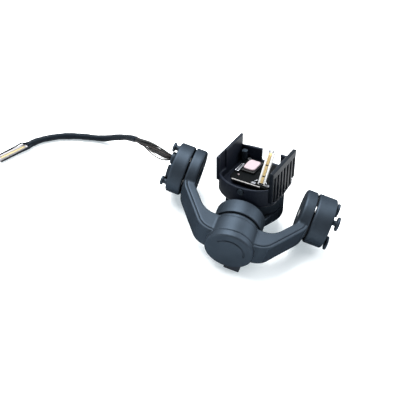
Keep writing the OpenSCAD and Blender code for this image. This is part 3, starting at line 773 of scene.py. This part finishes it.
def pad_shape(w, f, z):
    """Soft pad with rounded corners and an uneven top."""
    d = extrude(both(np.abs(w + 2.7) - 2.6, np.abs(f - 2) - 3.4, 1.6), z, 10.4, 11.3, 0.42)
    return d + 0.05 * np.sin(w * 1.9) * np.sin(f * 1.3 + 1)


finish_piece("soft_pad", local(in_camera, pad_shape)((-5.8, -1.9, 10.1), (0.4, 6.5, 11.7), 0.15),
             "camera", "pad_pink", ("thermal_pad",))
socket_parts = [((-7.6, -3.6, deck_top), (0.35, 5.8, 0.85)), ((-6.35, -3.6, deck_top), (0.35, 5.8, 0.85)),
                ((-7.3, -3.6, deck_top), (1.0, 0.4, 0.85)), ((-7.3, 1.8, deck_top), (1.0, 0.4, 0.85))]
socket_pins = [((-7.2, -3.0 + i * 0.5, deck_top), (0.85, 0.22, 0.5)) for i in range(10)]
finish_piece("socket", boxes(socket_parts + socket_pins, in_camera, 0.04), "camera", "steel",
             ("board_socket",), angle=40)
finish_piece("rail", boxes([((-6.2, -8.75, 9.3), (12.4, 0.3, 0.4))], in_camera, 0.05), "camera",
             "ceramic_white", ("shield_rail",), angle=40)
finish_piece("rail_base", boxes([((-6.2, -8.8, 8.6), (12.4, 0.4, 0.68))], in_camera, 0.05), "camera",
             "ceramic_white", mat="chip_black", angle=40)

at_flex = in_camera @ Matrix.Translation((4.3, -7.2, deck_top)) @ turned("X", -36)
strip_pitch = 0.5
strip_rows, marked_rows = 24, (5, 14, 23)
strip_parts = [((0, 0.3, 0.05), (3.2, 0.5, 13.5)), ((0.1, -0.02, 0.2), (0.8, 0.4, 13.2)),
               ((2.3, -0.02, 0.2), (0.8, 0.4, 13.2))]
finish_piece("contact_strip", boxes(strip_parts, at_flex, 0.08, 2), "camera", "ceramic_white", ("lens_flex",),
             "strip_white", angle=40)
pads = [((x, -0.16, 0.95 + i * strip_pitch), (0.5, 0.36, 0.3))
        for x in (0.98, 1.66) for i in range(strip_rows) if i not in marked_rows]
finish_piece("contacts", boxes([((1.0, 0.04, 0.9), (1.1, 0.25, 12.2))] + pads, at_flex, 0.05), "camera",
             "gold", ("flex_contacts",), angle=40)
dark_spots = boxes([((1.1, -0.2, 0.9 + i * strip_pitch), (0.9, 0.3, 0.42)) for i in marked_rows[:2]]
                   + [((0.5, -0.12, 0.4), (2.2, 0.3, 0.4))], at_flex, 0.08)
finish_piece("strip_marks", dark_spots, "camera", "gold", mat="chip_black", angle=40)

# Thin conductors curled over the strip's tip and round its foot
curls = []
for x, lean, top in ((0.5, 0.3, 0.9), (1.1, -0.2, 1.3), (1.9, 0.35, 1.1), (2.6, -0.1, 0.8)):
    curls.append(smooth_line([(x, 0.5, 12.9), (x + lean * 0.4, 0.2, 13.5), (x + lean, -0.1, 13.6 + top * 0.5),
                              (x + lean * 1.6, 0.3, 13.7 + top * 0.45), (x + lean * 1.3, 0.9, 13.4)], 5))
foot = [(2.9, -0.3, 1.9), (3.7, -0.7, 1.5), (4.1, -0.8, 0.8), (3.6, -0.7, 0.35), (3.0, -0.4, 0.5)]
curls.append(smooth_line(foot, 5))
curls.append(smooth_line([(-0.1, -0.3, 1.6), (-0.8, -0.6, 1.2), (-0.9, -0.7, 0.6), (-0.3, -0.5, 0.3)], 5))
wires = hose(curls, 0.16, 8)
wires.transform(at_flex)
finish_piece("strip_wires", wires, "camera", "steel", angle=60)

# ---------------------------------------------------------------- carried-over CAD pieces

slots = {s["node"]: s["material_slot"] for s in frame["record"]["subparts"]}
# tilt_shaft, hollow_axle and axle_bearing take the darkened steel, painted shade for the narrow gaps beside
# the drums.
other_look = {"shell_screws": "drum_satin", "tilt_shaft": "oxide_steel", "hollow_axle": "oxide_steel",
              "axle_bearing": "oxide_steel", "status_led": "pad_pink"}
softened = ("roll_bracket", "left_face_plate", "camera_board", "bracket_cap", "flex_clip")
for name, obj in nodes.items():
    dress(obj, slots[name], other_look.get(name))
    if name in softened:
        soft = obj.modifiers.new("edges", "BEVEL")
        soft.width = 0.0003
        soft.segments = 3
        soft.limit_method = "ANGLE"
        soft.angle_limit = math.radians(40)

# ---------------------------------------------------------------- floor and light


def stage_floor(z):
    """Plain pale floor, slightly self-lit like a light table."""
    b = bmesh.new()
    bmesh.ops.create_grid(b, x_segments=2, y_segments=2, size=1.5)
    mesh = bpy.data.meshes.new("floor")
    b.to_mesh(mesh)
    b.free()
    floor = bpy.data.objects.new("floor", mesh)
    floor.location = (0, 0, z)
    scene.collection.objects.link(floor)
    sheet = material("floor_white", (0.69, 0.685, 0.68), 0.85, grain=40, bump=0.0, vary=0.01, spec=0.1)
    lit = sheet.node_tree.nodes["Principled BSDF"]
    lit.inputs["Emission Color"].default_value = (0.84, 0.95, 1, 1)
    lit.inputs["Emission Strength"].default_value = 0.46
    floor.data.materials.append(sheet)


stage_floor(floor_z)


def area(name, place, target, size, power, color):
    """Soft rectangular lamp aimed at target."""
    data = bpy.data.lights.new(name, "AREA")
    data.shape = "RECTANGLE"
    data.size, data.size_y = size
    data.energy = power
    data.color = color
    lamp = bpy.data.objects.new(name, data)
    lamp.location = place
    lamp.rotation_euler = (Vector(target) - Vector(place)).to_track_quat("-Z", "Y").to_euler()
    scene.collection.objects.link(lamp)


area("overhead", (-0.4, 0.24, 0.73), (-0.02, 0, 0), (0.8, 0.65), 25, (0.98, 0.99, 1))
area("left_front", (-0.5, -0.45, 0.1), (0, 0, 0), (0.35, 0.25), 0.8, (0.97, 0.985, 1))
area("right_front", (0.42, -0.52, 0.1), (0, 0, 0), (0.35, 0.25), 0.6, (0.97, 0.985, 1))
area("right_back", (0.45, 0.3, 0.4), (0, 0, 0), (0.4, 0.4), 3.5, (0.96, 0.98, 1))
world = bpy.data.worlds.new("world")
world.use_nodes = True
world.node_tree.nodes["Background"].inputs["Color"].default_value = (0.95, 0.97, 1, 1)
# The surround is a pale room, dim toward one fixed direction: near and above
near_side = (0.03, -0.66, 0.75)
room = world.node_tree
toward = room.nodes.new("ShaderNodeVectorMath")
toward.operation = "DOT_PRODUCT"
toward.inputs[1].default_value = near_side
room.links.new(room.nodes.new("ShaderNodeTexCoord").outputs["Generated"], toward.inputs[0])
dim = room.nodes.new("ShaderNodeMapRange")
for key, value in (("From Min", 0.1), ("From Max", 0.95), ("To Min", 1.2), ("To Max", 0.05)):
    dim.inputs[key].default_value = value
room.links.new(toward.outputs["Value"], dim.inputs["Value"])
room.links.new(dim.outputs["Result"], room.nodes["Background"].inputs["Strength"])
scene.world = world
scene.view_settings.view_transform = "Standard"
